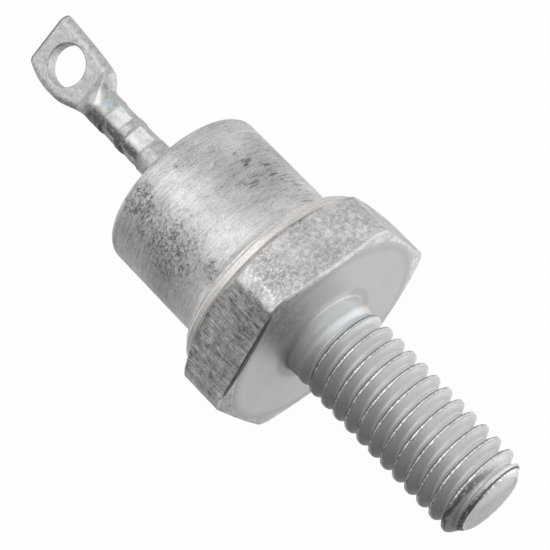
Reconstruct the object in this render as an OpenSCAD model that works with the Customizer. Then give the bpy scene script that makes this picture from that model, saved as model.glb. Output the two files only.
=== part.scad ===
// Stud-mount rectifier diode in a sealed metal case, lying at rest on one flat of its hexagon.
// Frame: origin at the centre of the seating face, +X along the threaded stud, +Z up.
// Inside the modules a height is measured along the axis, from the seating face towards the terminal.

/* [Hexagon base] */
// Distance across the flats
hex_af = 11.1; // [9:0.1:14]
// Thickness of the hexagon
hex_t = 2.95; // [2:0.05:4]
// How far each corner is turned back from a sharp one
hex_corner_cut = 0.2; // [0.05:0.05:0.4]
// How far inside the flats the end chamfers meet the faces
hex_face_inset = 0.3; // [0.1:0.05:0.6]
// Slope of the end chamfers, measured from the face
hex_chamfer_slope = 20; // [10:1:35]

/* [Stud] */
// Major diameter of the thread
stud_d = 4.6; // [3.8:0.05:5.8]
// Length of the stud from the seating face
stud_l = 11.1; // [8:0.1:14]
// Length of the plain neck next to the seating face
neck_l = 1.3; // [0.6:0.1:2]
// How far the neck lies below the thread's crests
neck_step = 0.03; // [0.01:0.01:0.04]
// Radius of the fillet between the neck and the seating face
neck_root_r = 0.1; // [0.05:0.01:0.2]
// Length of the chamfer at the tip
tip_l = 0.54; // [0.2:0.02:1]
// How far inside the thread's crests the chamfer meets the end face
tip_inset = 0.68; // [0.3:0.02:1]

/* [Cap] */
// Height of the cap's top above the seating face
body_h = 10.15; // [8.2:0.05:13]
// Outer diameter of the cap's wall
cap_d = 8.72; // [7.2:0.02:10.5]
// Thickness of the drawn wall
cap_wall = 0.5; // [0.3:0.05:0.7]
// Outer radius where the wall turns into the top
cap_edge_r = 0.4; // [0.2:0.05:0.8]
// Width of the welding flange outside the wall
flange_w = 0.76; // [0.4:0.02:1.1]
// Thickness of the welding flange at its rim
flange_t = 0.2; // [0.15:0.05:0.4]
// Radius of the flare between the wall and the flange
flare_r = 0.7; // [0.3:0.05:1]
// How far the weld ring stands out beyond the flange
ring_lip = 0.22; // [0.05:0.01:0.4]
// Height of the weld ring
ring_h = 0.48; // [0.3:0.02:0.8]
// Chamfer on the weld ring's rim
ring_chamfer = 0.07; // [0.02:0.01:0.15]

/* [Glass seal] */
// Diameter of the opening that the glass fills
seal_d = 4.2; // [3.2:0.1:5.2]
// Depth of the collar that holds the glass
collar_l = 1.25; // [0.9:0.05:1.8]
// Thickness of the collar
collar_wall = 0.4; // [0.25:0.05:0.6]
// Radius of the cap's rim round the glass
collar_edge_r = 0.25; // [0.1:0.05:0.4]
// How far the glass lies inside the collar at each end
seal_recess = 0.16; // [0.05:0.01:0.3]
// Depth of the dish in the glass at each end
seal_dish = 0.1; // [0.04:0.01:0.2]

/* [Terminal] */
// Outer diameter of the tube
tube_d = 1.85; // [1.5:0.05:2.2]
// Wall of the tube
tube_wall = 0.4; // [0.25:0.05:0.5]
// How far the tube reaches below the collar
tube_below = 0.15; // [0.05:0.05:0.3]
// Height of the terminal's tip above the cap
terminal_l = 10.4; // [8.4:0.05:12.5]
// Length of the flat eye
eye_l = 3.7; // [2.7:0.05:4]
// Width of the eye at its hole
eye_w = 3.4; // [2.8:0.05:4]
// Width of the eye at its cut tip
eye_tip_w = 3.08; // [2.6:0.05:3.8]
// Thickness of the eye
eye_t = 0.8; // [0.6:0.05:1]
// Diameter of the hole
eye_hole_d = 2.1; // [1.6:0.02:2.2]
// Distance of the hole's centre from the tip
eye_hole_in = 1.7; // [1.2:0.05:1.8]
// Length over which the round tube is pressed flat
press_l = 0.95; // [0.7:0.05:1.6]
// Step that the press leaves round the tube where the pressed length begins
press_step = 0.03; // [0.02:0.01:0.06]
// How far the tip leans sideways
eye_lean = 0.45; // [0:0.05:0.6]
// Turn of the eye's width about the axis, from straight up
eye_turn = 51; // [0:1:90]
// Length of each crimp
crimp_l = 1.55; // [1.1:0.05:1.9]
// Distance between the crimps, and from the upper one to the eye's neck
crimp_gap = 0.22; // [0.1:0.02:0.5]
// How deep the crimping jaws press in
crimp_depth = 0.2; // [0.08:0.01:0.22]
// Length of the sloping ends of a crimp
crimp_ramp = 0.16; // [0.05:0.01:0.3]
// How much a crimp thins the tube's wall
crimp_thinning = 0.06; // [0.02:0.01:0.1]

/* [Inner lead] */
// Radial clearance of the lead in the tube, away from the crimps
lead_clear = 0.03; // [0.01:0.01:0.08]
// Distance of the lead's end from the pressed end of the bore
lead_end_gap = 0.1; // [0.05:0.05:0.3]
// Straight run at each end of the lead's bend
lead_straight = 0.2; // [0.1:0.05:0.4]
// Steepest lean of the lead in its bend
bend_angle = 35; // [25:1:40]
// Diameter of the lead's headed foot
foot_d = 1.7; // [1.3:0.1:2]
// Thickness of the foot
foot_t = 0.3; // [0.2:0.05:0.4]

/* [Junction stack] */
// Diameter of the silicon die
die_d = 3.6; // [3:0.1:4.4]
// Thickness of the silicon die
die_t = 0.3; // [0.2:0.02:0.4]
// Thickness of each solder joint
solder_t = 0.1; // [0.06:0.01:0.15]
// How far the contact disc lies inside the die's edge
disc_margin = 0.6; // [0.5:0.05:0.65]
// Thickness of the contact disc
disc_t = 0.4; // [0.3:0.05:0.5]
// How far the expansion plate stands out beyond the die
plate_margin = 0.7; // [0.65:0.05:0.9]
// Thickness of the expansion plate
plate_t = 0.4; // [0.3:0.05:0.6]
// Radius of the bead that protects the die's edge
bead_r = 0.42; // [0.3:0.01:0.45]
// How far the pedestal stands out beyond the plate
pedestal_margin = 0.5; // [0.3:0.05:0.7]
// Height of the pedestal above the hexagon
pedestal_h = 0.55; // [0.4:0.05:0.8]
// Gap between the pedestal and the weld ring
ring_gap = 0.7; // [0.3:0.05:0.9]

/* [Hidden] */
$fn = 96;
// Overrun of a cutting shape past the surface it cuts
over = 0.5;
// Number of rings in the pressed end, of points round each of its two edges, and how deep it is rooted
press_rings = 20;
edge_points = 11;
press_root = 0.1;

// Radii
hex_r = hex_af / 2;
hex_face_r = hex_r - hex_face_inset;
hex_corner_r = hex_r / cos(30) - hex_corner_cut;
hex_chamfer_h = (hex_corner_r - hex_face_r) * tan(hex_chamfer_slope);
stud_r = stud_d / 2;
neck_r = stud_r - neck_step;
cap_r = cap_d / 2;
flange_r = cap_r + flange_w;
ring_r = flange_r + ring_lip;
seal_r = seal_d / 2;
tube_r = tube_d / 2;
press_r = tube_r - press_step;
bore_r = tube_r - tube_wall;
lead_r = bore_r - lead_clear;
die_r = die_d / 2;
disc_r = die_r - disc_margin;
plate_r = die_r + plate_margin;
pedestal_r = plate_r + pedestal_margin;
ring_bore_r = pedestal_r + ring_gap;

// Heights of the case
ring_top = hex_t + ring_h;
flange_top = ring_top + flange_t;
collar_low = body_h - collar_l;
seal_low = collar_low + seal_recess;
seal_top = body_h - seal_recess;
tube_low = collar_low - tube_below;

// Heights of the junction stack, from the pedestal up
pedestal_top = hex_t + pedestal_h;
plate_low = pedestal_top + solder_t;
plate_top = plate_low + plate_t;
die_low = plate_top + solder_t;
die_top = die_low + die_t;
disc_low = die_top + solder_t;
disc_top = disc_low + disc_t;
foot_low = disc_top + solder_t;
foot_top = foot_low + foot_t;

// Heights of the terminal
tip_h = body_h + terminal_l;
eye_low = tip_h - eye_l;
hole_h = tip_h - eye_hole_in;
neck_h = eye_low - press_l;
crimp_highs = [neck_h - crimp_gap, neck_h - 2 * crimp_gap - crimp_l];
crimp_r = tube_r - crimp_depth;
// The jaws squeeze the wall on to the lead, which takes flats of the same size
crimp_bore_r = crimp_r - (tube_wall - crimp_thinning);
bore_top = neck_h - 2 * press_root;
lead_top = bore_top - lead_end_gap;
jaw_angles = [0, 90, 180, 270];

// The lead's bend: out, back over twice the angle, and in again, in four equal arcs
lead_free = tube_low - foot_top;
bend_r = (lead_free - 2 * lead_straight) / (4 * sin(bend_angle));

// Turns the axis from upright to lying: the terminal points along -X
module lie() {
    rotate([0, -90, 0]) children();
}

// A round bar from one height to another
module bar(r, low, high) {
    translate([0, 0, low]) cylinder(r = r, h = high - low);
}

// A rectangle in the half-plane of a revolved profile
module strip(r_in, r_out, low, high) {
    translate([r_in, low]) square([r_out - r_in, high - low]);
}

// ---- Base: hexagon, stud and pedestal, turned from one bar ----

// Half section of the turned envelope that chamfers both ends of the hexagon
module hex_envelope() {
    rotate_extrude() polygon([
        [0, 0],
        [hex_face_r, 0],
        [hex_corner_r, hex_chamfer_h],
        [hex_corner_r, hex_t - hex_chamfer_h],
        [hex_face_r, hex_t],
        [0, hex_t]
    ]);
}

// All that is turned on the bar's axis: stud with tip chamfer, neck and its root fillet, and pedestal
module turned_core() {
    root_edge = neck_r + neck_root_r;
    rotate_extrude() {
        polygon([
            [0, -stud_l],
            [stud_r - tip_inset, -stud_l],
            [stud_r, -stud_l + tip_l],
            [stud_r, -neck_l - neck_step],
            [neck_r, -neck_l],
            [neck_r, hex_t / 2],
            [pedestal_r, hex_t / 2],
            [pedestal_r, pedestal_top],
            [0, pedestal_top]
        ]);
        difference() {
            strip(0, root_edge, -neck_root_r, hex_t / 2);
            translate([root_edge, -neck_root_r]) circle(neck_root_r);
        }
    }
}

module hex_base() {
    color("gainsboro") lie() {
        intersection() {
            rotate(30) cylinder(r = hex_r / cos(30), h = hex_t, $fn = 6);
            hex_envelope();
        }
        turned_core();
    }
}

// ---- Case ----

module weld_ring() {
    color("whitesmoke") lie() rotate_extrude() polygon([
        [ring_bore_r, hex_t],
        [ring_r - ring_chamfer, hex_t],
        [ring_r, hex_t + ring_chamfer],
        [ring_r, ring_top - ring_chamfer],
        [ring_r - ring_chamfer, ring_top],
        [ring_bore_r, ring_top]
    ]);
}

// Outer half section of the cap: flange, flare, wall and rounded top edge
module cap_outside() {
    strip(0, flange_r, ring_top, flange_top);
    strip(0, cap_r, ring_top, body_h - cap_edge_r);
    strip(0, cap_r - cap_edge_r, ring_top, body_h);
    translate([cap_r - cap_edge_r, body_h - cap_edge_r]) circle(cap_edge_r);
    difference() {
        strip(0, cap_r + flare_r, flange_top, flange_top + flare_r);
        translate([cap_r + flare_r, flange_top + flare_r]) circle(flare_r);
    }
}

// Space inside the cap: the cavity, less the collar that turns down round the glass
module cap_inside() {
    difference() {
        strip(0, cap_r - cap_wall, ring_top - over, body_h - cap_wall);
        strip(0, seal_r + collar_wall, collar_low, body_h);
    }
    strip(0, seal_r, collar_low - over, body_h + over);
    difference() {
        strip(0, seal_r + collar_edge_r, body_h - collar_edge_r, body_h + over);
        translate([seal_r + collar_edge_r, body_h - collar_edge_r]) circle(collar_edge_r);
    }
}

module cap() {
    color("silver") lie() rotate_extrude() difference() {
        cap_outside();
        cap_inside();
    }
}

// The glass wets the collar and the tube, so each end is dished between them
module glass_seal() {
    dish_half = (seal_r - tube_r) / 2;
    dish_r = (dish_half * dish_half + seal_dish * seal_dish) / (2 * seal_dish);
    dish_mid = (seal_r + tube_r) / 2;
    color("darkslategray") lie() rotate_extrude() difference() {
        strip(tube_r, seal_r, seal_low, seal_top);
        translate([dish_mid, seal_top - seal_dish + dish_r]) circle(dish_r);
        translate([dish_mid, seal_low + seal_dish - dish_r]) circle(dish_r);
    }
}

// ---- Terminal: a crimped tube with its end pressed flat and pierced ----

// Smooth step from 0 to 1
function smooth(t) = t * t * (3 - 2 * t);
function clamp01(t) = max(0, min(1, t));

// Half thickness of the pressed end: nearly the tube's radius at the neck, half the sheet at the eye
function press_half_t(h) =
    press_r + (eye_t / 2 - press_r) * smooth(clamp01((h - neck_h) / press_l));
// Half width: it spreads in a quarter wave up to the hole, then draws in a little to the tip
function press_half_w(h) = h < hole_h
    ? press_r + (eye_w / 2 - press_r) * sin(90 * (h - neck_h) / (hole_h - neck_h))
    : eye_w / 2 - (eye_w - eye_tip_w) / 2 * pow((h - hole_h) / eye_hole_in, 2);
// Sideways place of the centre line
function lean_at(h) = eye_lean * pow((h - neck_h) / (tip_h - neck_h), 2);

// One ring: two round edges joined by flats, which is the section of a squashed tube
function press_ring(h) = [
    for (side = [1, -1], i = [0 : edge_points])
        let (
            t = press_half_t(h),
            a = side * 90 - 90 - 90 + 180 * i / edge_points,
            flat = press_half_w(h) - t
        )
        [lean_at(h) + side * flat + t * cos(a), t * sin(a), h]
];

// Heights of the rings, closer together where the tube is pressed
function ring_height(i) = neck_h + (tip_h - neck_h) * pow(i / press_rings, 1.3);

// The loft through all the rings, with one more ring below the neck that roots it in the tube
module pressed_end() {
    n = 2 * (edge_points + 1);
    root = [for (p = press_ring(neck_h)) p - [0, 0, press_root]];
    rings = [for (i = [0 : press_rings]) each press_ring(ring_height(i))];
    sides = [
        for (i = [0 : press_rings], j = [0 : n - 1])
            let (a = i * n + j, b = i * n + (j + 1) % n)
            each [[a, a + n, b + n], [a, b + n, b]]
    ];
    bottom = [for (j = [0 : n - 1]) j];
    top = [for (j = [n - 1 : -1 : 0]) (press_rings + 1) * n + j];
    polyhedron(points = concat(root, rings), faces = concat(sides, [bottom, top]));
}

// The dent of one jaw: flat-bottomed, with sloping ends
module jaw_dent(high) {
    rotate([90, 0, 0]) linear_extrude(height = 2 * tube_d, center = true) polygon([
        [crimp_r, high - crimp_ramp],
        [crimp_r, high - crimp_l + crimp_ramp],
        [tube_r, high - crimp_l],
        [tube_r + over, high - crimp_l],
        [tube_r + over, high],
        [tube_r, high]
    ]);
}

// A round bar that is squeezed to flats inside each crimp
module squeezed_bar(r, low, high) {
    difference() {
        bar(r, low, high);
        for (crimp_high = crimp_highs, angle = jaw_angles) rotate(angle)
            translate([crimp_bore_r, -tube_d / 2, crimp_high - crimp_l + crimp_ramp])
                cube([tube_r, tube_d, crimp_l - 2 * crimp_ramp]);
    }
}

module terminal() {
    color("silver") lie() difference() {
        union() {
            bar(tube_r, tube_low, neck_h);
            rotate(eye_turn) pressed_end();
        }
        for (crimp_high = crimp_highs, angle = jaw_angles) rotate(angle) jaw_dent(crimp_high);
        squeezed_bar(bore_r, tube_low - over, bore_top);
        rotate(eye_turn) translate([lean_at(hole_h), 0, hole_h]) rotate([90, 0, 0])
            cylinder(r = eye_hole_d / 2, h = 2 * tube_d, center = true);
    }
}

// ---- Inner lead: headed foot, bend that takes up expansion, and the length gripped in the tube ----

// One arc of the bend, from a start point, turning from one lean to another
module bend_arc(side) {
    translate([side * bend_r, 0, 0]) rotate([90, 0, 0])
        rotate(side > 0 ? 180 - bend_angle : 0) rotate_extrude(angle = bend_angle)
            translate([bend_r, 0]) circle(lead_r);
}

module lead_bend() {
    rise = bend_r * sin(bend_angle);
    run = bend_r * (1 - cos(bend_angle));
    bend_arc(1);
    translate([2 * run, 0, 2 * rise]) bend_arc(-1);
    translate([2 * run, 0, 2 * rise]) mirror([0, 0, 1]) bend_arc(-1);
    translate([0, 0, 4 * rise]) mirror([0, 0, 1]) bend_arc(1);
}

module inner_lead() {
    color("peru") lie() {
        bar(foot_d / 2, foot_low, foot_top);
        bar(lead_r, foot_top, foot_top + lead_straight);
        translate([0, 0, foot_top + lead_straight]) lead_bend();
        squeezed_bar(lead_r, tube_low - lead_straight, lead_top);
    }
}

// ---- Junction stack ----

module lead_solder() {
    color("lightslategray") lie() bar(foot_d / 2, disc_top, foot_low);
}

module contact_disc() {
    color("dimgray") lie() bar(disc_r, disc_low, disc_top);
}

module contact_solder() {
    color("lightslategray") lie() bar(disc_r, die_top, disc_low);
}

module silicon_die() {
    color("midnightblue") lie() bar(die_r, die_low, die_top);
}

// A bead of silicone rubber that stands on the plate and laps round the die's edge
module junction_bead() {
    color("ivory") lie() rotate_extrude() difference() {
        translate([die_r, (plate_top + die_top) / 2]) circle(bead_r);
        strip(0, die_r, plate_top, die_top);
        strip(0, die_r + 2 * bead_r, plate_top - 2 * bead_r, plate_top);
    }
}

module die_solder() {
    color("lightslategray") lie() bar(die_r, plate_top, die_low);
}

module expansion_plate() {
    color("dimgray") lie() bar(plate_r, plate_low, plate_top);
}

module base_solder() {
    color("lightslategray") lie() bar(plate_r, pedestal_top, plate_low);
}

hex_base();
weld_ring();
cap();
glass_seal();
terminal();
inner_lead();
lead_solder();
contact_disc();
contact_solder();
silicon_die();
junction_bead();
die_solder();
expansion_plate();
base_solder();
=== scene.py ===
# %% [markdown]
# # A stud-mount rectifier diode
# A power diode in a metal case: a hexagon base with a threaded stud, a drawn cap welded on to it,
# and a crimped tube that ends in a pierced solder eye. Everything outside is one dull plated metal,
# so nearly all of the look is in small things: how crisp an edge is, how deep the crimps are, and
# how streaks, pits and handling marks break up the plating.
#
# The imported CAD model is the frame. Its sealed inner parts keep their own meshes and get better
# materials here. The five outer parts are replaced by surfaces worked out with numpy.

import math

import bmesh
import bpy
import numpy as np
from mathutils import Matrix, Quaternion, Vector


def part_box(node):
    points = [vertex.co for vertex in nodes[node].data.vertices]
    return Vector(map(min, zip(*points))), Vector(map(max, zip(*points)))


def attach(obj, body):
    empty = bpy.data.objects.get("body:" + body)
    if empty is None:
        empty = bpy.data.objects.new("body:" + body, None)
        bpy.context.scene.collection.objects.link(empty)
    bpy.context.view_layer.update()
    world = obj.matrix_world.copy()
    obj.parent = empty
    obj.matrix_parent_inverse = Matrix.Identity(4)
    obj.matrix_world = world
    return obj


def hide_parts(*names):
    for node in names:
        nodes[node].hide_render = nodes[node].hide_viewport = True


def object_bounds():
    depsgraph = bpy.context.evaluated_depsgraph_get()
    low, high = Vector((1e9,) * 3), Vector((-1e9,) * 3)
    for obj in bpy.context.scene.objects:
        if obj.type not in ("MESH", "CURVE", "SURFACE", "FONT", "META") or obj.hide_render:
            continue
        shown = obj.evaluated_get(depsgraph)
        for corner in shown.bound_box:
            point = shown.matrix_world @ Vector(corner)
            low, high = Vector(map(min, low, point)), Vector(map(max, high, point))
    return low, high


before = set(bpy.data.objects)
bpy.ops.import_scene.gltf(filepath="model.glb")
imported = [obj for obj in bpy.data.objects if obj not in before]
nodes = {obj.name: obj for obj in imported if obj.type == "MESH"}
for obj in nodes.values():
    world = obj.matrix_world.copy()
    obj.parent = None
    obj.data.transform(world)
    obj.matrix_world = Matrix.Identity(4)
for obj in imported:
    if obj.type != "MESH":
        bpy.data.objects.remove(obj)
cad_low, cad_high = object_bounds()
MM = 0.001
print("CAD nodes:", sorted(nodes))
print("CAD box in mm:", [round((b - a) / MM, 3) for a, b in zip(cad_low, cad_high)])

# %% [markdown]
# ## Sizes
# The diode lies on its side, with its axis along X. It is easier to think of it upright, so every
# shape here is drawn with a height along the axis, from the seating face (0) towards the solder
# eye, a radius, and an angle round the axis from straight up. The sizes come from the boxes of the
# CAD nodes where a box shows them. The rest are the maker's sizes inside those boxes.

# %% Heights and radii of the parts, in millimetres


def heights(node):
    """Lowest and highest height of a CAD node: minus X, in millimetres."""
    low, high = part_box(node)
    return -high.x / MM, -low.x / MM


def radius_of(node):
    """Largest radius of a CAD node that is round, or has corners, across Y."""
    low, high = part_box(node)
    return (high.y - low.y) / 2 / MM


stud_end, pedestal_top = heights("hex_base")
corner_r = radius_of("hex_base")
flat_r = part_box("hex_base")[1].z / MM
ring_low, ring_high = heights("weld_ring")
ring_r = radius_of("weld_ring")
flange_low, cap_top = heights("cap")
flange_r = radius_of("cap")
seal_low, seal_high = heights("glass_seal")
seal_r = radius_of("glass_seal")
tube_low, eye_top = heights("terminal")
lead_top = heights("inner_lead")[1]
hex_top = ring_low

crest_r = 2.30
neck_r = 2.24
pedestal_r = 3.0
cap_r = 4.36
tube_r = 0.925
for label, value in (("hexagon across flats", 2 * flat_r), ("corner radius", corner_r),
                     ("hexagon height", hex_top), ("stud length", -stud_end),
                     ("cap top", cap_top), ("eye top", eye_top), ("tube low end", tube_low)):
    print(f"{label}: {value:.3f}")

# %% [markdown]
# ## From numbers to a closed mesh
# A grid of points, rows by columns, becomes a mesh by joining each point to its neighbours. The
# columns go round the axis and join up. A row whose points all lie on the axis is a pole, and
# merging doubles closes it. A thread needs one more trick: after one turn round the axis its rows
# have moved along by a pitch, so the last column joins the first column of another row.

# %% Placing points and joining a grid


def lay(height, across, up):
    """Upright millimetres to the frame's metres: x = -height, y = across, z = up."""
    return np.stack(np.broadcast_arrays(-height, across, up), axis=-1) * MM


def round_axis(height, radius, angle):
    """Points at a radius and an angle from straight up: y = r sin a, z = r cos a."""
    return lay(height, radius * np.sin(angle), radius * np.cos(angle))


def skin(name, grid, partner=None, ring_of_rows=False, facets=35, **marks):
    """A closed piece from a grid of points. Its marks are numbers stored on the points, by name.

    Quad (i, j) joins rows i and i + 1 at columns j and j + 1. The last column joins the first
    column of the row that partner gives. With ring_of_rows the last row joins the first.
    """
    rows, columns = grid.shape[:2]
    index = np.arange(rows * columns).reshape(rows, columns)
    right = np.roll(index, -1, axis=1)
    if partner is not None:
        right[:, -1] = index[partner, 0]
    if ring_of_rows:
        index = np.vstack([index, index[:1]])
        right = np.vstack([right, right[:1]])
    quads = np.stack([index[:-1], index[1:], right[1:], right[:-1]], axis=-1).reshape(-1, 4)
    mesh = bpy.data.meshes.new(name)
    mesh.from_pydata(grid.reshape(-1, 3), [], quads.tolist())
    for mark, values in marks.items():
        stored = mesh.attributes.new(mark, "FLOAT", "POINT")
        flat = np.broadcast_to(values, (rows, columns)).astype(np.float32).ravel()
        stored.data.foreach_set("value", flat)
    bm = bmesh.new()
    bm.from_mesh(mesh)
    bmesh.ops.remove_doubles(bm, verts=bm.verts, dist=1e-7)
    if bm.calc_volume(signed=True) < 0:
        bmesh.ops.reverse_faces(bm, faces=bm.faces)
    open_edges = sum(len(edge.link_faces) != 2 for edge in bm.edges)
    volume = bm.calc_volume()
    bm.to_mesh(mesh)
    bm.free()
    mesh.shade_smooth()
    mesh.set_sharp_from_angle(angle=math.radians(facets))
    piece = bpy.data.objects.new(name, mesh)
    bpy.context.collection.objects.link(piece)
    mesh.calc_loop_triangles()
    print(f"{name}: {len(mesh.loop_triangles)} triangles, {volume * 1e9:.1f} mm3,"
          f" {open_edges} edges open or shared by more than two faces")
    return piece


# %% [markdown]
# ## Shaping helpers
# Real edges are never sharp, so two surfaces are joined by a soft minimum, which rounds the edge
# between them over a chosen width. Real surfaces are never quite true either, so a smooth random
# swell moves them by a few hundredths of a millimetre.

# %% Soft joins, smooth steps and swells


def soft_min(a, b, width):
    """The smaller of a and b, rounded where they differ by less than width.

    With t = clip(1/2 + (b - a) / (2 width)), it is b + t (a - b) - width t (1 - t) / 2.
    """
    t = np.clip(0.5 + 0.5 * (b - a) / width, 0, 1)
    return b + t * (a - b) - 0.5 * width * t * (1 - t)


def soft_max(a, b, width):
    """The larger of a and b, rounded in the same way."""
    return -soft_min(-a, -b, width)


def step(x, low, high):
    """0 below low, 1 above high, and 3 t^2 - 2 t^3 between them."""
    t = np.clip((x - low) / (high - low), 0, 1)
    return t * t * (3 - 2 * t)


def lattice(cell, seed):
    """A fixed random number from 0 to 1 at each whole-number point of space."""
    weights = np.array([374761393, 668265263, 1440662683])
    n = ((cell * weights).sum(axis=-1) + seed * 1274126177) & 0xFFFFFFFF
    n = ((n ^ (n >> 13)) * 1274126177) & 0xFFFFFFFF
    return ((n ^ (n >> 16)) & 0xFFFF) / 65535


def swell(points, size, seed):
    """Smooth random bumps from -1 to 1, about size millimetres wide.

    Each point blends the eight lattice numbers round it, with smooth steps along each axis.
    """
    place = points / MM / size
    cell = np.floor(place).astype(np.int64)
    part = place - cell
    part = part * part * (3 - 2 * part)
    total = 0
    for corner in np.ndindex(2, 2, 2):
        side = np.array(corner)
        weight = np.where(side == 1, part, 1 - part).prod(axis=-1)
        total = total + weight * lattice(cell + side, seed)
    return 2 * total - 1


# %% [markdown]
# ## The base: hexagon, stud and pedestal
# The maker turns the base from one bar of hexagonal copper and then rolls the thread. A rolled
# thread is a helix, so the rows of the grid follow the helix themselves. The radius then depends
# only on the row, and the crest stays a clean line however coarse the columns are.
#
# On the hexagon the surface is the soft minimum of four things: the flats, the turned corners and
# the two chamfer cones. The columns crowd together near the corners, where the radius changes fast.

# %% The hexagon's sides and chamfers
COLUMNS = 228
FULL = 2 * math.pi
column_angle = FULL * np.arange(COLUMNS) / COLUMNS
crowd = 0.75 / 6 * np.sin(6 * column_angle)
seat_cone_r, seat_slope = 5.30, math.tan(math.radians(10))
cap_cone_r, cap_slope = 5.38, math.tan(math.radians(32))
corner_soft, seat_soft, cap_soft = 0.05, 0.07, 0.10


def hexagon(height, angle):
    """Radius of the hexagon: the soft minimum of flat, corner and two cones.

    Flat: R / cos(angle from the nearest flat). Cones: face radius + distance from the face / slope.
    """
    off_flat = (angle + math.pi / 6) % (math.pi / 3) - math.pi / 6
    side = soft_min(flat_r / np.cos(off_flat), corner_r, corner_soft)
    lower = seat_cone_r + height / seat_slope
    upper = cap_cone_r + (hex_top - height) / cap_slope
    return soft_min(soft_min(side, lower, seat_soft), upper, cap_soft)


def crowded(start, stop, count, power):
    """Numbers from start to stop, closer together near start: start + (stop - start) t^power."""
    return start + (stop - start) * np.linspace(0, 1, count) ** power


cone_h = 0.60
hex_rows = np.concatenate([
    crowded(hex_top, hex_top - cone_h, 24, 1.1),
    np.linspace(hex_top - cone_h, cone_h, 22)[1:-1],
    crowded(0, cone_h, 24, 1.1)[::-1],
])
print("rows on the hexagon:", len(hex_rows))

# %% The thread
pitch = 0.794
thread_depth = 0.56 * pitch
first_crest = 2.296
flank = 1 / math.tan(math.radians(30))
crest_half = pitch / 12
crest_soft, root_soft = 0.06, 0.10


def thread(turns):
    """Radius at a place counted in turns from a crest: V flanks between a flat crest and the root.

    The flank is crest radius - (distance from the crest's edge) / tan 30 degrees.
    """
    off = np.abs(turns - np.round(turns)) * pitch
    vee = crest_r + (crest_half - off) * flank
    return soft_max(soft_min(vee, crest_r, crest_soft), crest_r - thread_depth, root_soft)


turn_marks = np.array([0, .025, .05, .075, .10, .16, .24, .32, .38, .42, .46,
                       .50, .54, .58, .62, .68, .76, .84, .90, .925, .95, .975])
per_turn = len(turn_marks)
helix_start, full_depth = 0.35, 2.1
helix_end = -stud_end
turns_back = math.ceil((first_crest - helix_start) / pitch)
turns_all = math.ceil((helix_end - first_crest) / pitch) + turns_back + 2
row_turn = (np.arange(turns_all)[:, None] - turns_back + turn_marks).ravel()
row_place = first_crest + row_turn * pitch
row_place = row_place[:np.searchsorted(row_place, helix_end + pitch) + 1]
row_turn = row_turn[:len(row_place)]
helix_place = np.clip(row_place[:, None] - pitch * column_angle / FULL, helix_start, helix_end)

tip_length, tip_inset, tip_soft = 0.54, 0.68, 0.12
run_out = step(helix_place, helix_start, full_depth)
thread_r = neck_r + run_out * (thread(row_turn)[:, None] - neck_r)
tip_cone = crest_r - tip_inset + (helix_end - helix_place) * tip_inset / tip_length
helix_r = np.minimum(thread_r, soft_min(thread_r, tip_cone, tip_soft))
print("rows on the thread:", len(row_place), "of", per_turn, "a turn")

# %% All rows of the base, from the pedestal's middle to the middle of the stud's end


def rows_of(height, radius, crowding):
    """Rows of points: their heights, radii and angles, each one row by all columns."""
    height, radius, crowding = (np.atleast_1d(v)[:, None] for v in (height, radius, crowding))
    angle = column_angle + crowding * crowd
    height, radius, angle = np.broadcast_arrays(height, radius, angle)
    return height, radius, angle


root_r = 0.12
root_turn = np.linspace(0, math.pi / 2, 6)
pedestal_edge = 0.05
pedestal_rows = np.array([0, pedestal_r / 2, pedestal_r - pedestal_edge])
seat_rows = np.linspace(seat_cone_r, neck_r + root_r, 16)[1:]
tip_rows = np.linspace(crest_r - tip_inset, 0, 9)[1:]
hex_h, _, hex_a = rows_of(hex_rows, 1.0, np.ones(len(hex_rows)))
blocks = [
    rows_of(np.full(3, pedestal_top), pedestal_rows, np.zeros(3)),
    rows_of(np.array([pedestal_top - pedestal_edge, hex_top]), np.full(2, pedestal_r), np.zeros(2)),
    rows_of(np.full(5, hex_top), np.linspace(pedestal_r, cap_cone_r, 6)[1:], np.linspace(0, 1, 5)),
    (hex_h[1:], hexagon(hex_h, hex_a)[1:], hex_a[1:]),
    rows_of(np.zeros(15), seat_rows, np.linspace(1, 0, 15)),
    rows_of(-root_r * (1 - np.cos(root_turn)), neck_r + root_r * (1 - np.sin(root_turn)), np.zeros(6)),
    rows_of(np.linspace(-root_r, -helix_start, 6)[1:-1], np.full(4, neck_r), np.zeros(4)),
]
helix_first = sum(len(block[0]) for block in blocks)
helix_last = helix_first + len(row_place)
blocks.append((-helix_place, helix_r, np.broadcast_to(column_angle, helix_place.shape)))
blocks.append(rows_of(np.full(8, stud_end), tip_rows, np.zeros(8)))
base_h, base_r, base_a = (np.vstack([block[i] for block in blocks]) for i in range(3))
partner = np.arange(len(base_h))
partner[helix_first:helix_last] = helix_first + np.maximum(np.arange(len(row_place)) - per_turn, 0)

# %% How far each point is from a crest, in turns, for the finish
no_crest, first_mark = 0.5, 1.1
off_crest = np.broadcast_to((row_turn - np.round(row_turn))[:, None], helix_place.shape)
wind = np.full(base_h.shape, no_crest)
wind[helix_first:helix_last] = np.where(helix_place < first_mark, no_crest, off_crest)
print("points with a place in a turn:", int((wind != no_crest).sum()))

# %% The base itself, with a slight swell on its flats
base_points = round_axis(base_h, base_r, base_a)
on_side = step(base_r, 5.4, 5.55)
broad, narrow = swell(base_points, 1.7, 1), swell(base_points, 0.6, 2)
wave = 0.010 * (1 + broad) + 0.006 * (1 + narrow)
base_points = round_axis(base_h, base_r - wave * on_side, base_a)
base = skin("threaded_base", base_points, partner=partner, wind=wind)
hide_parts("hex_base")
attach(base, "root")

# %% [markdown]
# ## Turned and drawn parts
# The cap, the weld ring and the glass bead are all round. Each is a profile with rounded corners,
# carried round the axis. A rounded corner is an arc that touches both of its sides, so a list of
# corners and radii is all that the profile needs.

# %% Profiles with rounded corners


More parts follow.
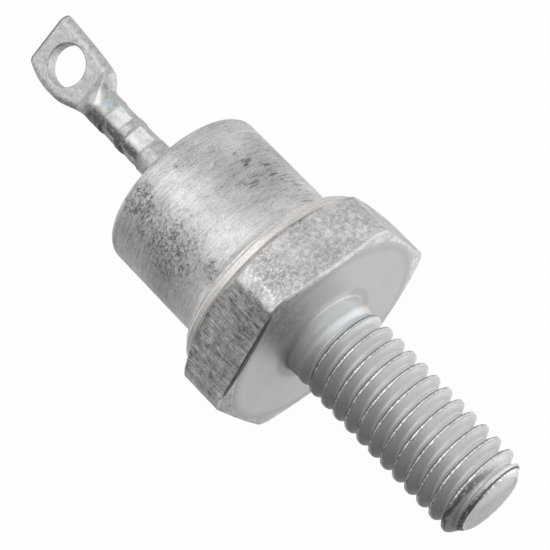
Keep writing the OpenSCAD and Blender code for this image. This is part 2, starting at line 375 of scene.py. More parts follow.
def corner_arc(before, corner, after, radius, count=10):
    """Points of the arc that touches both sides of a corner: centre + radius (cos, sin).

    The centre lies on the bisector, at radius / sin(half angle) from the corner.
    """
    if radius == 0:
        return corner[None, :]
    a = (before - corner) / np.linalg.norm(before - corner)
    b = (after - corner) / np.linalg.norm(after - corner)
    half = math.acos(np.clip(a @ b, -1, 1)) / 2
    centre = corner + (a + b) / np.linalg.norm(a + b) * radius / math.sin(half)
    start = corner + a * radius / math.tan(half) - centre
    end = corner + b * radius / math.tan(half) - centre
    first = math.atan2(start[1], start[0])
    turn = (math.atan2(end[1], end[0]) - first + math.pi) % FULL - math.pi
    angle = first + turn * np.linspace(0, 1, count)
    return centre + radius * np.stack([np.cos(angle), np.sin(angle)], axis=1)


def rounded_loop(corners, longest=0.35):
    """A closed profile of (radius, height) from corners (radius, height, rounding)."""
    corners = np.array(corners, float)
    places = corners[:, :2]
    arcs = [corner_arc(places[i - 1], places[i], places[(i + 1) % len(places)], corners[i, 2])
            for i in range(len(places))]
    loop = np.vstack(arcs)
    pieces = []
    for start, end in zip(loop, np.roll(loop, -1, axis=0)):
        count = max(1, math.ceil(np.linalg.norm(end - start) / longest))
        pieces.append(start + (end - start) * (np.arange(count) / count)[:, None])
    return np.vstack(pieces)


def turned(name, profile, columns, uneven=0.0, seed=0, **more):
    """A profile carried round the axis, with its radius uneven by a smooth swell."""
    angle = FULL * np.arange(columns) / columns
    radius = profile[:, :1]
    height = profile[:, 1:]
    points = round_axis(height, radius, angle)
    if uneven:
        radius = radius - uneven * (1 + swell(points, 2.2, seed))
        points = round_axis(height, radius, angle)
    return skin(name, points, ring_of_rows=True, **more)


# %% [markdown]
# ## The cap, the weld ring and the glass
# The cap is drawn from thin steel. Its open end turns out into a flange, which a ring joins to the
# hexagon, and its top turns down into a collar that grips the glass. The glass has wetted both the
# collar and the tube while it was soft, so its two ends are dished.

# %% Cap
cap_wall, flange_t = 0.5, 0.2
flare_r, edge_r, lip_r = 0.62, 0.4, 0.25
collar_low = cap_top - 1.25
collar_r = seal_r + 0.4
cap_profile = rounded_loop([
    (cap_r - cap_wall, flange_low, 0),
    (flange_r, flange_low, 0.05),
    (flange_r, flange_low + flange_t, 0.09),
    (cap_r, flange_low + flange_t, flare_r),
    (cap_r, cap_top, edge_r),
    (seal_r, cap_top, lip_r),
    (seal_r, collar_low, 0.04),
    (collar_r, collar_low, 0.04),
    (collar_r, cap_top - cap_wall, 0.1),
    (cap_r - cap_wall, cap_top - cap_wall, 0.1),
])
cap = turned("drawn_cap", cap_profile, 288, uneven=0.004, seed=11)
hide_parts("cap")
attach(cap, "root")

# %% Weld ring
ring_bore_r = 3.7
ring_profile = rounded_loop([
    (ring_bore_r, ring_low, 0),
    (ring_r, ring_low, 0.09),
    (ring_r, ring_high, 0.16),
    (ring_bore_r, ring_high, 0),
])
ring = turned("bright_ring", ring_profile, 288, uneven=0.008, seed=12)
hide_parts("weld_ring")
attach(ring, "root")

# %% Glass bead


def dished(low, high, dish, count=24):
    """A profile across the glass and back: each end sinks by dish times (1 - t^2) between its edges."""
    t = np.linspace(-1, 1, count)
    radius = (seal_r + tube_r) / 2 + t * (seal_r - tube_r) / 2
    sunk = dish * (1 - t * t)
    bottom = np.stack([radius, low + sunk], axis=1)
    top = np.stack([radius[::-1], high - sunk[::-1]], axis=1)
    return np.vstack([bottom, top])


glass_dish = 0.1
glass = turned("sealing_glass", dished(seal_low, seal_high, glass_dish), 192, facets=60)
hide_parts("glass_seal")
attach(glass, "root")

# %% [markdown]
# ## The terminal
# The terminal starts as a plain tube. Jaws squeeze it on to the inner lead in two places, and a
# press flattens its end, which is then pierced and cut off. One surface does it all: each row is a
# section that begins as a circle and turns into two flats with round edges. The hole is cut with a
# turned tool whose ends flare, which leaves the soft rim that a punch leaves.

# %% How thick and how wide the pressed end is, height by height
eye_turn = math.radians(51)
eye_half_t = 0.4
press_low, crease, crease_soft = 15.95, 16.95, 0.10
hole_h, hole_side = 18.76, 0.25


def rest_of_way(height, low):
    """0 up to a height, and then the share of the way from there to the eye's tip."""
    return np.clip((height - low) / (eye_top - low), 0, 1)


def half_thickness(height):
    """Half thickness: the tube's radius, then a straight slope down to the crease of the flat eye."""
    slope = (tube_r - eye_half_t) / (crease - press_low - crease_soft)
    sloping = eye_half_t + np.maximum(crease - height, 0) * slope
    return soft_min(np.full_like(height, tube_r), sloping, crease_soft)


def right_edge(height):
    """The edge that the press has pushed out: a quick shoulder, then a slow rise to the tip."""
    shoulder = 0.60 * step(height, 16.0, 16.65)
    return tube_r + shoulder + 0.49 * rest_of_way(height, 16.6) ** 0.5


def left_edge(height):
    """The edge in line with the tube: a slow swelling, and a taper near the tip."""
    swelling = 0.50 * step(height, 16.3, 18.4)
    return tube_r + swelling - 0.44 * rest_of_way(height, 18.8) ** 2


# %% Sections of the tube and the pressed end
crimp_tops, crimp_lengths, crimp_ramp = (15.22, 13.72), (1.22, 1.34), 0.16
crimp_flat, bore_flat, bore_r = 0.79, 0.40, 0.525
crimp_soft, panel_edge = 0.05, 0.03
jaw_turn = math.radians(-10)
turn_done = press_low + 0.45
fold = 1.6


def off_jaw(angle):
    """An angle measured from the middle of the nearest of the four jaws."""
    return (angle - jaw_turn + math.pi / 4) % (math.pi / 2) - math.pi / 4


def jaw(height, ends):
    """How far the jaw's flat lies from the axis: the near value between the ramps, more on them."""
    clear = 9.0
    ramps = np.full_like(height, clear)
    for top, length in zip(crimp_tops, crimp_lengths):
        outside = np.maximum(height - top, top - length - height) + crimp_ramp
        ramps = np.minimum(ramps, np.maximum(outside, 0) / crimp_ramp)
    return ends[0] + (ends[1] - ends[0]) * ramps


def section(height, angle):
    """Points of the outer surface at a height and an angle measured from the eye's width.

    The round section is (r cos a, r sin a). The pressed one is two half circles of radius t,
    moved apart by w - t and joined by flats. The columns slide from one to the other.
    """
    t = half_thickness(height)
    w = np.maximum((right_edge(height) + left_edge(height)) / 2, t)
    quarter = (angle + math.pi / 2) % math.pi - math.pi / 2
    sign = np.where(np.cos(angle) >= 0, 1.0, -1.0)
    arc = np.clip(quarter * fold, -math.pi / 2, math.pi / 2)
    spread = np.clip((math.pi / 2 - np.abs(quarter)) / (math.pi / 2 * (1 - 1 / fold)), 0, 1)
    pressed = step(height, press_low, turn_done)
    turn = (1 - pressed) * quarter + pressed * arc
    apart = (w - t) * ((1 - pressed) + pressed * spread)
    x = sign * (apart + t * np.cos(turn))
    y = sign * t * np.sin(turn)
    return x, y


def crimped(height, x, y):
    """Pulls the round tube in to the four jaws: the radius is the soft minimum of tube and flats."""
    angle = np.arctan2(y, x) + eye_turn
    radius = np.hypot(x, y)
    uneven = 0.03 * swell(lay(height * np.ones_like(x), x, y), 0.45, 21)
    flat = (jaw(height, (crimp_flat, tube_r + 0.03)) + uneven) / np.cos(off_jaw(angle))
    squeezed = np.where(height < press_low, soft_min(radius, flat, crimp_soft), radius)
    panel = np.where(height < press_low, step(radius - flat, 0.0, panel_edge), 0.0)
    return x * squeezed / radius, y * squeezed / radius, panel


# %% The terminal's outside, from the glass up to the tip
TUBE_COLUMNS = 240
tube_angle = FULL * (np.arange(TUBE_COLUMNS) + 0.5) / TUBE_COLUMNS
plain_top = crimp_tops[1] - crimp_lengths[1] - 0.05
eye_low = crease + 0.1
tip_edge_h = 0.05
outer_h = np.concatenate([
    np.linspace(tube_low, plain_top, 14),
    np.linspace(plain_top, press_low, 110)[1:],
    np.linspace(press_low, eye_low, 60)[1:],
    np.linspace(eye_low, eye_top - tip_edge_h, 40)[1:],
])[:, None]
x, y = section(outer_h, tube_angle)
x, y, panel = crimped(outer_h, x, y)
shift = (right_edge(outer_h) - left_edge(outer_h)) / 2
x = x + shift
end_scale = np.array([1.0, 0.985, 0.96, 0.7, 0.35, 0.0])[:, None]
end_h = eye_top - np.array([tip_edge_h, 0.02, 0.0, 0.0, 0.0, 0.0])[:, None]
end_x = shift[-1] + (x[-1] - shift[-1]) * end_scale
end_y = y[-1] * end_scale
print("rows on the outside:", len(outer_h), "and on the cut tip:", len(end_h) - 1)

# %% The bore, the whole grid and its turn about the axis
bore_h = np.linspace(lead_top + 0.1, tube_low, 120)[:, None]
bore_jaw = jaw(bore_h, (bore_flat, bore_r * 2))
bore_radius = np.minimum(bore_r, bore_jaw / np.cos(off_jaw(tube_angle + eye_turn)))
bore_x, bore_y = bore_radius * np.cos(tube_angle), bore_radius * np.sin(tube_angle)
all_h = np.vstack([bore_h[:1], bore_h, outer_h, end_h[1:]])
all_x = np.vstack([0 * bore_x[:1], bore_x, x, end_x[1:]])
all_y = np.vstack([0 * bore_y[:1], bore_y, y, end_y[1:]])
on_outside = slice(1 + len(bore_h), 1 + len(bore_h) + len(outer_h))
all_panel = np.zeros(all_x.shape)
all_panel[on_outside] = panel


def turned_eye(height, x, y):
    """Points of the terminal's own x and y, turned about the axis to where the eye faces."""
    across = x * math.sin(eye_turn) + y * math.cos(eye_turn)
    up = x * math.cos(eye_turn) - y * math.sin(eye_turn)
    return lay(height, across, up)


terminal = skin("crimped_terminal", turned_eye(all_h, all_x, all_y), facets=40, panel=all_panel)

# %% The hole, cut with a flared tool
hole_r, hole_rim, tool_half = 1.05, 0.10, 1.5
rim_turn = np.linspace(0, math.pi / 2, 8)
rim_depth = eye_half_t - hole_rim * (1 - np.sin(rim_turn))
rim_radius = hole_r + hole_rim * (1 - np.cos(rim_turn))
tool_ends = np.full(2, tool_half)
tool_along = np.concatenate([-tool_ends, -rim_depth[::-1], rim_depth, tool_ends])
tool_radius = np.concatenate([[0, rim_radius[-1]], rim_radius[::-1], rim_radius, [rim_radius[-1], 0]])
tool_angle = FULL * np.arange(96) / 96
tool_x = hole_side + tool_radius[:, None] * np.cos(tool_angle)
tool_h = hole_h + tool_radius[:, None] * np.sin(tool_angle)
tool_y = np.broadcast_to(tool_along[:, None], tool_x.shape)
tool = skin("flared_punch", turned_eye(tool_h, tool_x, tool_y))
cut = terminal.modifiers.new("pierce", "BOOLEAN")
cut.operation = "DIFFERENCE"
cut.solver = "MANIFOLD"
cut.object = tool
bpy.context.view_layer.objects.active = terminal
terminal.select_set(True)
bpy.ops.object.modifier_apply(modifier=cut.name)
bpy.data.objects.remove(tool)
terminal.data.calc_loop_triangles()
print("terminal after piercing:", len(terminal.data.loop_triangles), "triangles")
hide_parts("terminal")
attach(terminal, "root")

# %% [markdown]
# ## Writing materials as sums
# A material's pattern is arithmetic on masks and noise. The small class below wraps one socket, so
# that an expression such as 1 - mask * 0.5 adds the Math nodes by itself. Any other node comes from
# one method. Colours are blended with Mix, because a Math node would turn them grey.

# %% A socket that can be added and multiplied


class Value:
    """One output socket of a finish. Python's operators on it add Math nodes."""

    def __init__(self, finish, socket):
        self.finish = finish
        self.socket = socket

    def math(self, operation, *others):
        """A Math node on this value and the others."""
        return self.finish.add("ShaderNodeMath", (self, *others), operation=operation)

    def __add__(self, other):
        return self.math("ADD", other)

    def __sub__(self, other):
        return self.math("SUBTRACT", other)

    def __rsub__(self, other):
        return self.finish.add("ShaderNodeMath", (other, self), operation="SUBTRACT")

    def __mul__(self, other):
        return self.math("MULTIPLY", other)

    __radd__ = __add__
    __rmul__ = __mul__

    def rise(self, low, high):
        """0 below low, 1 above high, with a smooth step between. Falls if low is above high."""
        turned_round = low > high
        low, high = min(low, high), max(low, high)
        ends = (1.0, 0.0) if turned_round else (0.0, 1.0)
        inputs = {0: self, 1: low, 2: high, 3: ends[0], 4: ends[1]}
        return self.finish.add("ShaderNodeMapRange", inputs, interpolation_type="SMOOTHSTEP")

    def between(self, low, high, soft):
        """1 between low and high, and 0 outside, with soft edges."""
        return self.rise(low - soft, low + soft) * self.rise(high + soft, high - soft)


class Finish:
    """The nodes of one material, or of the world, with one method that adds any node."""

    def __init__(self, name, tree=None):
        self.material = None
        if tree is None:
            self.material = bpy.data.materials.new(name)
            self.material.use_nodes = True
            tree = self.material.node_tree
        self.tree = tree
        tree.nodes.clear()

    def add(self, kind, inputs=(), output=0, **settings):
        """Adds a node: its settings first, then a value or a link for each socket."""
        node = self.tree.nodes.new(kind)
        for key, value in settings.items():
            setattr(node, key, value)
        pairs = inputs.items() if isinstance(inputs, dict) else enumerate(inputs)
        for key, value in pairs:
            if isinstance(value, Value):
                self.tree.links.new(value.socket, node.inputs[key])
            else:
                node.inputs[key].default_value = value
        return Value(self, node.outputs[output])

    def mix(self, factor, low, high):
        """Blends two colours."""
        return self.add("ShaderNodeMix", {0: factor, 6: low, 7: high}, output=2, data_type="RGBA")

    def place(self):
        """Object coordinates in millimetres."""
        spot = self.add("ShaderNodeTexCoord", output=3)
        return self.add("ShaderNodeVectorMath", {0: spot, 3: 1 / MM}, operation="SCALE")

    def stretch(self, vector, scale):
        """A vector multiplied axis by axis."""
        return self.add("ShaderNodeVectorMath", {0: vector, 1: scale}, operation="MULTIPLY")

    def noise(self, vector, scale, detail=3.0, rough=0.55, shift=0.0, distort=0.0):
        """Noise from 0 to 1, with its middle at one half."""
        moved = {0: vector, 1: (shift, shift * 1.7, -shift)}
        spot = self.add("ShaderNodeVectorMath", moved, operation="ADD")
        return self.add("ShaderNodeTexNoise", {"Vector": spot, "Scale": scale, "Detail": detail,
                                               "Roughness": rough, "Distortion": distort})

    def mark(self, name):
        """The numbers stored on a piece's points under a name."""
        return self.add("ShaderNodeAttribute", output=2, attribute_type="GEOMETRY", attribute_name=name)

    def axes(self, vector):
        """The three numbers of a vector."""
        split = self.add("ShaderNodeSeparateXYZ", {0: vector})
        node = split.socket.node
        return split, Value(self, node.outputs[1]), Value(self, node.outputs[2])

    def near(self, vector, centre, reach):
        """1 at a point, falling to 0 at a distance from it."""
        ends = {0: vector, 1: centre}
        away = self.add("ShaderNodeVectorMath", ends, output=1, operation="DISTANCE")
        return away.rise(reach, reach * 0.25)

    def bump(self, height, distance):
        """A Bump node: height from 0 to 1 stands for distance in millimetres."""
        return self.add("ShaderNodeBump", {"Strength": 1.0, "Distance": distance * MM, "Height": height})

    def show(self, surface, output="ShaderNodeOutputMaterial"):
        """Joins a shader to the output and gives back the material, where there is one."""
        out = self.tree.nodes.new(output)
        self.tree.links.new(surface.socket, out.inputs[0])
        return self.material

    def shade(self, colour, roughness, metallic, normal):
        """The Principled shader, joined to the output."""
        inputs = {"Base Color": colour, "Roughness": roughness, "Metallic": metallic, "Normal": normal}
        return self.show(self.add("ShaderNodeBsdfPrincipled", inputs))


def grey(value, warmth=0.0):
    """A grey of a given linear brightness, with a little warmth (or blue, below 0)."""
    return (value * (1 + warmth), value, value * (1 - warmth), 1.0)


def paint(piece, material):
    """Gives a piece one material, in every slot it has."""
    if not piece.data.materials:
        piece.data.materials.append(material)
    for slot in range(len(piece.data.materials)):
        piece.data.materials[slot] = material


# %% [markdown]
# ## Dull tin plating
# All the outside is plated. What tells the pieces apart is how the marks run: round the axis on the
# drawn cap, along the stud's axis on the hexagon's flats, nearly none on the turned seating face.
#
# Each finish is one number, its tone, which goes from dark (0) to clean tin (1). Noise moves
# it up and down, and masks say where. Some masks paint light and shade into the tone: highlights
# along edges and crests, and shade where the part turns from the lamp. Positions are in the part's
# own millimetres, so px is minus the height, and pz points up.
#
# The stud's marks follow the thread: wind is the distance from a crest, in turns. The crests get
# painted highlights, with a painted shadow line beside each, and the stud is darker in patches in
# its last groove and round its tip's edge.

# %% Base plating: noise
plating = Finish("dull_tin_base")
spot = plating.place()
px, py, pz = plating.axes(spot)
cloud = plating.noise(spot, 0.55, detail=4.0, rough=0.6)
mottle = plating.noise(spot, 3.6, detail=6.0, rough=0.75, shift=3.0)
fine = plating.noise(spot, 14.0, detail=3.0, rough=0.6, shift=8.0)
speck = plating.noise(spot, 7.0, detail=3.0, rough=0.6, shift=11.0).rise(0.56, 0.66)
lengthways = plating.stretch(spot, (0.9, 7.0, 7.0))
along = plating.noise(lengthways, 1.3, detail=4.0, rough=0.7, shift=5.0)
hairs = plating.noise(plating.stretch(spot, (3.0, 1.2, 1.2)), 1.6, detail=2.0, shift=21.0)
scratch = hairs.between(0.485, 0.515, 0.012)
sparkle = plating.noise(spot, 4.5, detail=3.0, rough=0.7, shift=17.0)
print("nodes for the base's noise:", len(plating.tree.nodes))

# %% Base plating: where the marks, painted highlights and painted shade lie on the hexagon
on_flat, by_edge = (5.40, 5.50), (5.28, 5.38)
sin_60, cos_60 = 0.866, 0.5
cross = plating.stretch(spot, (0.0, 1.0, 1.0))
off_axis = plating.add("ShaderNodeVectorMath", {0: cross}, output=1, operation="LENGTH")
side = off_axis.rise(5.36, 5.5)
to_left = pz * cos_60 - py * sin_60
top_flat = pz.rise(*on_flat)
left_flat = to_left.rise(*on_flat)
left_corner = (py * sin_60 + pz * cos_60).between(0.1, 1.4, 0.3)
# Painted shade along the flats' cap-side edge, under the ring.
cap_side_shade = px.between(-3.1, -2.72, 0.06)
# Painted highlight along the top flat's seat-side edge, and a painted dark shade line along the left
# flat's.
top_edge_highlight = pz.rise(*by_edge) * px.between(-0.15, -0.01, 0.02)
left_edge_shade = to_left.rise(*by_edge) * px.between(-0.11, 0.01, 0.015) * mottle.rise(0.22, 0.45)
on_seat = px.rise(-0.05, 0.0)
# Painted shade: a darker ring round the seat's outer edge.
seat_rim_shade = on_seat * off_axis.rise(4.85, 5.15)
# Painted shade on the seat beside the neck, towards -Y, broken up by mottle.
seat_shade_by_stud = plating.near(spot, (0.0, -2.6, 3.4), 1.9) * on_seat * mottle.rise(0.35, 0.60)
print("nodes with the hexagon's masks:", len(plating.tree.nodes))

# %% Base plating: where the marks, painted highlights and painted shade lie on the stud
wind = plating.mark("wind")
stud = off_axis.rise(2.9, 2.6) * px.rise(-0.1, 0.0)
# Painted light: the stud's top side is made lighter, as if lit from above.
upper = py.rise(-1.5, -0.2) * py.rise(1.8, 1.0) * pz.rise(0.0, 1.0)
# Painted shadow line beside each crest and painted glints on the crests; crest_zone also lowers the
# roughness and adds bumps there.
crest_shadow = wind.between(-0.13, -0.045, 0.02)
crest_glint = wind.between(-0.04, 0.07, 0.02)
crest_zone = wind.between(-0.07, 0.09, 0.03) * stud
root_shade = px.rise(0.18, 0.08)
# Painted sheen: the neck is made lighter all round.
neck_sheen = px.between(0.10, 1.6, 0.3)
# Darker in patches in the last groove and round the tip's edge, on the -Y side only.
last_groove, tip_edge = px.between(10.36, 10.56, 0.05), px.between(10.92, 11.06, 0.04)
tip_darkening = last_groove + tip_edge + px.rise(10.3, 10.5) * 0.25
tip_darkening = tip_darkening * mottle.rise(0.34, 0.54) * py.rise(1.0, -0.5)
print("nodes with the stud's masks:", len(plating.tree.nodes))

# %% Base plating: tone, roughness and bumps
corner_marks = left_corner * (speck + scratch) * 0.5 + scratch * 0.22
# On the left flat the tone is lowered by a painted shade, under its real lengthways streaks.
flat_tone = ((mottle - 0.5) * 1.7 + (fine - 0.5) * 0.4 + (cloud - 0.5) * 0.9 + speck * 0.15 - 0.06
             + left_flat * ((along - 0.5) * 1.7 - 0.14) - cap_side_shade * 0.22 + top_flat * corner_marks)
# Stud tone: painted glints on the crests, a painted shadow line beside them, a painted lighter top side
# and neck, and darker patches at the tip.
stud_tone = ((fine - 0.5) * 0.3 + crest_zone * sparkle.rise(0.46, 0.56) * 0.5
             + crest_glint * (speck * 1.6 - 0.25) - crest_shadow * (1.1 - speck * 0.5)
             + upper * 0.26 + neck_sheen * 0.13 - tip_darkening * 0.55 - root_shade * 0.12)
tone = (0.62 + (cloud - 0.5) * 0.12 + (fine - 0.5) * 0.22 + side * flat_tone
        + top_edge_highlight * (0.2 + speck * 0.6) - left_edge_shade * 1.6 + stud * stud_tone
        - seat_rim_shade * 0.10 - seat_shade_by_stud * 0.30)
# Painted bluish reflection on the neck's top side.
tinned = plating.mix(stud * neck_sheen * upper, grey(0.86, 0.01), (0.84, 0.87, 0.885, 1))
colour = plating.mix(tone, grey(0.16, 0.03), tinned)
rough = 0.50 + side * ((mottle - 0.5) * 0.3 - 0.08) + stud * 0.08 - crest_zone * 0.38
normal = plating.bump(mottle * side * 0.8 + fine * 0.25 + crest_zone * sparkle * 2.5, 0.03)
paint(base, plating.shade(colour, rough, 0.8, normal))
print("nodes in the base's finish:", len(plating.tree.nodes))

# %% Cap plating: noise
drawn = Finish("dull_tin_cap")
spot = drawn.place()
px = drawn.axes(spot)[0]
hoops = drawn.noise(drawn.stretch(spot, (7.0, 0.55, 0.55)), 1.5, detail=5.0, rough=0.75, shift=2.0)
streak = drawn.noise(drawn.stretch(spot, (4.0, 0.8, 0.8)), 1.8, detail=4.0, rough=0.7, shift=7.0)
cloud = drawn.noise(spot, 0.45, detail=4.0, rough=0.6, shift=6.0)
pits = drawn.noise(drawn.stretch(spot, (1.4, 1.0, 1.0)), 4.6, detail=6.0, rough=0.8, shift=9.0)
fine = drawn.noise(spot, 15.0, detail=3.0, rough=0.6)
dent = drawn.noise(drawn.stretch(spot, (2.0, 2.0, 2.0)), 3.0, detail=2.0, shift=13.0)
warp = drawn.add("ShaderNodeTexNoise", {"Vector": spot, "Scale": 1.4, "Detail": 4.0}, output=1)
warp = drawn.stretch(warp, (1.6, 1.6, 1.6))
ragged = drawn.add("ShaderNodeVectorMath", {0: spot, 1: warp}, operation="ADD")
print("nodes for the cap's noise:", len(drawn.tree.nodes))

# %% Cap plating: stains, lines and glints
stain = (drawn.near(ragged, (-5.8, -2.8, 3.3), 2.3) + drawn.near(ragged, (-8.3, -2.5, 3.7), 1.5)
         + drawn.near(ragged, (-3.4, -2.3, 3.9), 0.9) * 0.8)
smear = drawn.near(ragged, (-5.8, 2.3, 4.9), 2.2) + drawn.near(ragged, (-4.2, 3.2, 4.4), 1.5) * 0.7
pitted = stain * pits.rise(0.42, 0.58) + pits.rise(0.54, 0.66) * 0.5
lines = ((px + (cloud - 0.5) * 0.5).between(-9.02, -8.98, 0.02)
         + (px - (cloud - 0.5) * 0.6).between(-8.42, -8.39, 0.02))
rim = px.between(-10.1, -9.85, 0.05)
knock = drawn.near(spot, (-8.3, -2.1, 3.82), 0.9)
glints = dent.rise(0.60, 0.68) * (rim + knock * fine.rise(0.5, 0.6))
bluish = drawn.near(spot, (-5.4, 0.2, 4.35), 2.2)
by_flare = px.rise(-6.4, -4.2)
print("nodes with the cap's masks:", len(drawn.tree.nodes))

# %% Cap plating: tone, roughness and bumps
tone = (0.68 + (hoops - 0.5) * 0.75 + (fine - 0.5) * 0.9 + (cloud - 0.5) * 0.8
        - streak.rise(0.50, 0.68) * (0.20 + smear * 0.35) - smear * 0.08 - pitted * 0.56
        + lines * streak * 0.5 + glints * 0.4 + by_flare * 0.17)
tinned = drawn.mix(bluish * 0.5, grey(0.84, 0.01), (0.78, 0.83, 0.86, 1))
colour = drawn.mix(tone, grey(0.14, 0.02), tinned)
normal = drawn.bump(hoops * 0.5 + pits * 0.6, 0.03)
paint(cap, drawn.shade(colour, 0.44 + (pits - 0.5) * 0.3, 0.8, normal))
print("nodes in the cap's finish:", len(drawn.tree.nodes))

# %% Ring plating
bright = Finish("bright_tin_ring")
spot = bright.place()
hoops = bright.noise(bright.stretch(spot, (6.0, 0.6, 0.6)), 1.5, detail=3.0)
fine = bright.noise(spot, 12.0, detail=3.0)
tone = 0.5 + (hoops - 0.5) * 1.2 + (fine - 0.5) * 1.4
colour = bright.mix(tone, grey(0.50, 0.03), grey(0.93, 0.035))
paint(ring, bright.shade(colour, 0.42 + (fine - 0.5) * 0.1, 0.7, bright.bump(hoops, 0.015)))
print("nodes in the ring's finish:", len(bright.tree.nodes))

# %% Terminal plating
pressed_tin = Finish("dull_tin_terminal")
spot = pressed_tin.place()
tx, ty, _ = pressed_tin.axes(spot)
panel_mark = pressed_tin.mark("panel")
mottle = pressed_tin.noise(spot, 4.2, detail=6.0, rough=0.75)
fine = pressed_tin.noise(spot, 14.0, detail=3.0)
shaded = ty.rise(-0.40, -0.75) * tx.between(-16.4, -12.4, 0.4)
cut_tip = tx.rise(-20.42, -20.52)
# Painted highlight on the press slope, and painted shade beside it.
wedge_highlight = pressed_tin.near(spot, (-16.25, -0.35, 0.85), 0.60)
slope_shade = pressed_tin.near(spot, (-16.35, 0.45, 0.75), 0.50)
blue_fleck = pressed_tin.near(spot, (-15.5, 0.0, 0.85), 0.35)
tone = (0.62 + (mottle - 0.5) * 1.4 + (fine - 0.5) * 0.5 + panel_mark * 0.3
        - shaded * mottle.rise(0.35, 0.55) * 0.8 - cut_tip * mottle.rise(0.35, 0.50) * 0.9
        + wedge_highlight * 0.6 - slope_shade * 0.35)
tinned = pressed_tin.mix(blue_fleck, (0.80, 0.82, 0.79, 1), (0.72, 0.92, 1.0, 1))
colour = pressed_tin.mix(tone, grey(0.16, 0.02), tinned)
normal = pressed_tin.bump(mottle * (1 - panel_mark * 0.7), 0.03)
paint(terminal, pressed_tin.shade(colour, 0.42 - wedge_highlight * 0.15, 0.75, normal))
print("nodes in the terminal's finish:", len(pressed_tin.tree.nodes))

# %% [markdown]
# ## Glass and the sealed parts
# The sealing glass is dark and glossy. Inside the case a copper lead, two molybdenum discs, soft
# solder, the silicon die and its rubber bead keep their CAD meshes. They only need a finish.

# %% Glass and inner finishes
fused = Finish("fused_glass")
spot = fused.place()
swirl = fused.noise(spot, 3.0, detail=3.0, distort=1.0)
colour = fused.mix(swirl, (0.010, 0.022, 0.020, 1), (0.035, 0.055, 0.050, 1))
paint(glass, fused.shade(colour, 0.08 + swirl * 0.08, 0.0, fused.bump(swirl, 0.01)))


def inner_finish(name, low, high, scale, rough, metallic, bump):
    """A simple mottled finish between two colours, for a part that the case hides."""
    finish = Finish(name)
    spot = finish.place()
    grain = finish.noise(spot, scale, detail=4.0, rough=0.6)
    colour = finish.mix(grain.rise(0.3, 0.7), low, high)
    return finish.shade(colour, rough + (grain - 0.5) * 0.2, metallic, finish.bump(grain, bump))


copper = inner_finish("drawn_copper", (0.42, 0.17, 0.08, 1), (0.72, 0.36, 0.20, 1),
                      scale=6.0, rough=0.35, metallic=0.95, bump=0.01)
solder = inner_finish("soft_solder", grey(0.28, -0.02), grey(0.52, -0.02),
                      scale=5.0, rough=0.45, metallic=0.9, bump=0.02)
lapped = inner_finish("lapped_molybdenum", grey(0.16, -0.02), grey(0.30, -0.02),
                      scale=9.0, rough=0.4, metallic=0.95, bump=0.005)
silicon = inner_finish("polished_silicon", (0.03, 0.035, 0.06, 1), (0.07, 0.08, 0.12, 1),
                       scale=2.0, rough=0.12, metallic=0.6, bump=0.002)
rubber = inner_finish("cured_silicone", (0.62, 0.58, 0.48, 1), (0.80, 0.77, 0.68, 1),
                      scale=4.0, rough=0.5, metallic=0.0, bump=0.02)

# %% A finish for every CAD node, the replaced ones too
finishes = {
    "hex_base": plating.material, "weld_ring": bright.material, "cap": drawn.material,
    "glass_seal": fused.material, "terminal": pressed_tin.material,
    "inner_lead": copper, "lead_solder": solder, "contact_disc": lapped,
    "contact_solder": solder, "silicon_die": silicon, "junction_bead": rubber,
    "die_solder": solder, "expansion_plate": lapped, "base_solder": solder,
}
for node, material in finishes.items():
    paint(nodes[node], material)
print("nodes painted:", len(finishes))

# %% [markdown]
# ## Floor, light and camera
# The part lies on a flat of its hexagon on a white table. The table and the room show plain white to
# the camera and through glass. The metal mirrors the room alone, because the table is hidden from
# glossy rays. The room is dim on one side and bright on a window's side, and that, with one large
# soft lamp, gives the shape.

# %% Floor
FLOOR_POINTS, floor_half = 9, 1.5
span = np.linspace(-floor_half, floor_half, FLOOR_POINTS)
grid_x, grid_y = np.meshgrid(span, span, indexing="ij")
floor_points = np.stack([grid_x, grid_y, np.full_like(grid_x, cad_low.z)], axis=-1).reshape(-1, 3)
ids = np.arange(FLOOR_POINTS ** 2).reshape(FLOOR_POINTS, FLOOR_POINTS)
floor_quads = np.stack([ids[:-1, :-1], ids[1:, :-1], ids[1:, 1:], ids[:-1, 1:]], axis=-1)
floor_mesh = bpy.data.meshes.new("white_table")
floor_mesh.from_pydata(floor_points, [], floor_quads.reshape(-1, 4).tolist())
floor = bpy.data.objects.new("white_table", floor_mesh)
bpy.context.collection.objects.link(floor)
floor.visible_glossy = False
print("table at a height of", round(cad_low.z / MM, 3), "mm,", len(floor_quads.reshape(-1, 4)), "faces")

# %% Floor finish: a soft white that the camera sees as plain white
table = Finish("white_table")
rays = table.add("ShaderNodeLightPath").socket.node.outputs
to_camera, through_glass = 0.97, 0.8
seen = Value(table, rays["Is Camera Ray"]) * to_camera
seen = seen + Value(table, rays["Is Transmission Ray"]) * through_glass
soft = table.add("ShaderNodeBsdfDiffuse", {"Color": (0.8, 0.8, 0.8, 1)})
glow = table.add("ShaderNodeEmission", {"Color": (1, 1, 1, 1), "Strength": 1.0})
paint(floor, table.show(table.add("ShaderNodeMixShader", {0: seen, 1: soft, 2: glow})))

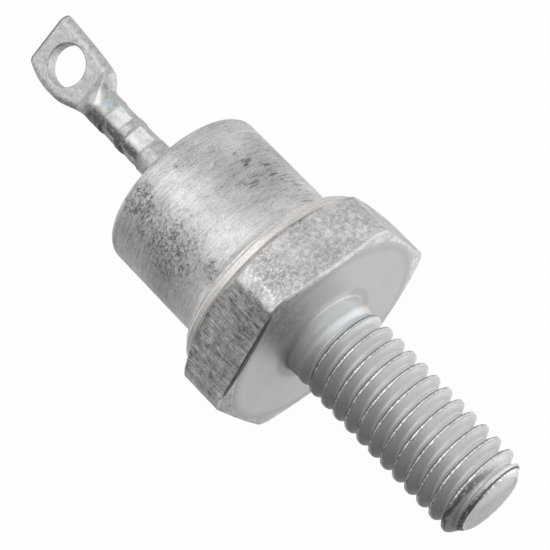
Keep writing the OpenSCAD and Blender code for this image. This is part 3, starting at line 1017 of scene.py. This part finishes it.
# %% World
world = bpy.data.worlds.new("plain_room")
bpy.context.scene.world = world
world.use_nodes = True
room = Finish("plain_room", world.node_tree)
rays = room.add("ShaderNodeLightPath").socket.node.outputs
seen = Value(room, rays["Is Camera Ray"]).math("MAXIMUM", Value(room, rays["Is Transmission Ray"]))
way = room.add("ShaderNodeTexCoord", output=0)


def toward(direction, low, high):
    """0 to 1 as a ray turns toward a direction, from the cosines low and high."""
    ends = {0: way, 1: direction}
    return room.add("ShaderNodeVectorMath", ends, output=1, operation="DOT_PRODUCT").rise(low, high)


dark_side = toward((0.56, -0.68, -0.47), 0.25, 0.75)
window = toward((0.80, 0.50, -0.33), 0.25, 0.70)
room_level, window_glow, dark_share = 0.74, 0.65, 0.95
plain = (room_level + window * window_glow) * (1 - dark_side * dark_share)
strength = seen + (1 - seen) * plain
backdrop = room.add("ShaderNodeBackground", {0: (1, 1, 1, 1), 1: strength})
room.show(backdrop, output="ShaderNodeOutputWorld")
print("nodes in the room:", len(room.tree.nodes))

# %% Lamp
lamp = bpy.data.lights.new("key", "AREA")
lamp.size, lamp.energy = 0.42, 0.55
key = bpy.data.objects.new("key", lamp)
key.location = Vector((-0.17, -0.20, 0.40))
key.rotation_euler = (-key.location).to_track_quat("-Z", "Y").to_euler()
bpy.context.collection.objects.link(key)
print("lamp of", round(lamp.energy, 2), "W at", round(key.location.length, 3), "m")

# %% Camera
azimuth, elevation, roll = math.radians(41.86), math.radians(60.01), math.radians(7.85)
flat_way = math.cos(elevation)
to_eye = Vector((math.sin(azimuth) * flat_way, -math.cos(azimuth) * flat_way, math.sin(elevation)))
distance, aim = 0.110, Vector((-0.003215, -0.000213, 0.001146))
camera = bpy.data.objects.new("camera", bpy.data.cameras.new("camera"))
camera.location = to_eye * distance
camera.rotation_mode = "QUATERNION"
swing = (-to_eye).rotation_difference(aim - camera.location)
rolled = Quaternion(to_eye, roll)
camera.rotation_quaternion = swing @ rolled @ (-to_eye).to_track_quat("-Z", "Y")
camera.data.lens = 158.3
camera.data.clip_start, camera.data.clip_end = 0.005, 10
bpy.context.collection.objects.link(camera)
bpy.context.scene.camera = camera
bpy.context.scene.view_settings.view_transform = "Standard"
print("camera at", [round(v, 4) for v in camera.location])
